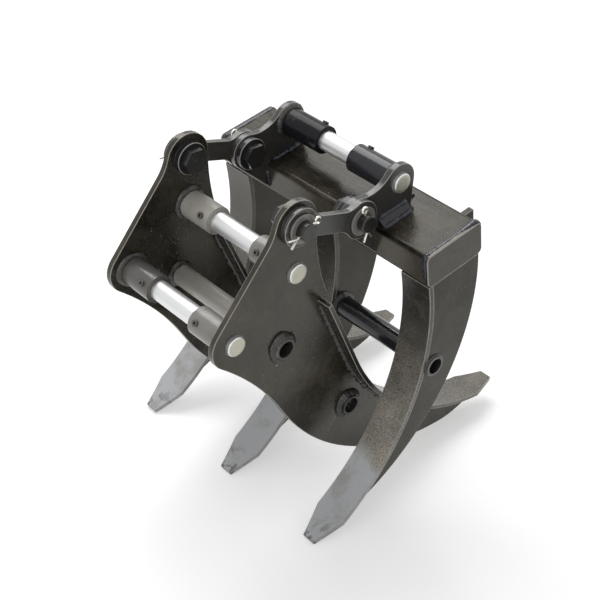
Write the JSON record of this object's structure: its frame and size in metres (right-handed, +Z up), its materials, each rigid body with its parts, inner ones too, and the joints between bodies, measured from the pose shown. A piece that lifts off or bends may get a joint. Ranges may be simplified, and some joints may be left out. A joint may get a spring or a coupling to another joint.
{
  "type": "mechanical log grapple",
  "caption": "Steel log grapple for a small excavator: a rake with curved tines swings on side links and closes through the curved lower tines of a plate body.",
  "frame": {"origin": "on the ground under the middle of the length and of the width, with the grapple closed and standing on the points of its rake and on the belly of its lower tines", "axes": "+X towards the points of the lower tines, +Y along the pins towards the left side, +Z up"},
  "size_m": [0.508, 0.378, 0.4554],
  "materials": {
    "black_enamel": "gloss",
    "pin_steel": "satin",
    "zinc_wire": "satin"
  },
  "bodies": {
    "lower_jaw": {"side_plate_left": "black_enamel", "side_plate_right": "black_enamel", "lower_tine_left": "black_enamel", "lower_tine_right": "black_enamel", "upper_cross_tube": "black_enamel", "lower_short_tubes": "black_enamel", "arm_boss_left": "black_enamel", "arm_boss_right": "black_enamel", "brace_boss_left": "black_enamel", "brace_boss_right": "black_enamel", "jaw_collars": "black_enamel", "jaw_hinge_pins": "black_enamel", "jaw_washers": "black_enamel", "jaw_split_pins": "zinc_wire", "jaw_lock_screws": "black_enamel", "jaw_weld_rings": "black_enamel"},
    "left_link": {"side_link_left": "black_enamel"},
    "right_link": {"side_link_right": "black_enamel"},
    "rake": {"crossbar": "black_enamel", "crossbar_cap_left": "black_enamel", "crossbar_cap_right": "black_enamel", "crossbar_lugs": "black_enamel", "ear_left": "black_enamel", "ear_right": "black_enamel", "ear_foot_bars": "black_enamel", "ear_boss_left": "black_enamel", "ear_boss_right": "black_enamel", "rake_tine_face_left": "black_enamel", "rake_tine_face_middle": "black_enamel", "rake_tine_face_right": "black_enamel", "rake_tine_webs_left": "black_enamel", "rake_tine_webs_middle": "black_enamel", "rake_tine_webs_right": "black_enamel", "rake_tine_back_left": "black_enamel", "rake_tine_back_middle": "black_enamel", "rake_tine_back_right": "black_enamel", "rake_cross_tube": "black_enamel", "rake_collars": "black_enamel", "rake_hinge_pins": "black_enamel", "rake_washers": "black_enamel", "rake_split_pins": "zinc_wire", "rake_lock_screws": "black_enamel", "rake_weld_rings": "black_enamel"},
    "arm_pin": {"arm_pin": "pin_steel"},
    "brace_pin": {"brace_pin": "pin_steel"},
    "bucket_link_pin": {"bucket_link_pin": "pin_steel"}
  },
  "joints": [
    {"name": "left_link_hinge", "type": "hinge", "parent": "lower_jaw", "child": "left_link", "pos_m": [-0.1405, 0.1045, 0.4255], "axis": [0, -1, 0], "range_deg": [-5, 25]},
    {"name": "right_link_hinge", "type": "hinge", "parent": "lower_jaw", "child": "right_link", "pos_m": [-0.1405, -0.1045, 0.4255], "axis": [0, -1, 0], "range_deg": [-5, 25]},
    {"name": "rake_hinge", "type": "hinge", "parent": "left_link", "child": "rake", "pos_m": [-0.047, 0.1045, 0.4025], "axis": [0, -1, 0], "range_deg": [0, 100]},
    {"name": "arm_pin_slide", "type": "slide", "parent": "lower_jaw", "child": "arm_pin", "axis": [0, -1, 0], "range_m": [0, 0.14]},
    {"name": "brace_pin_slide", "type": "slide", "parent": "lower_jaw", "child": "brace_pin", "axis": [0, -1, 0], "range_m": [0, 0.14]},
    {"name": "bucket_link_pin_slide", "type": "slide", "parent": "rake", "child": "bucket_link_pin", "axis": [0, -1, 0], "range_m": [0, 0.14]}
  ],
  "couplings": [
    {"joint": "right_link_hinge", "follows": "left_link_hinge", "ratio": 1}
  ]
}
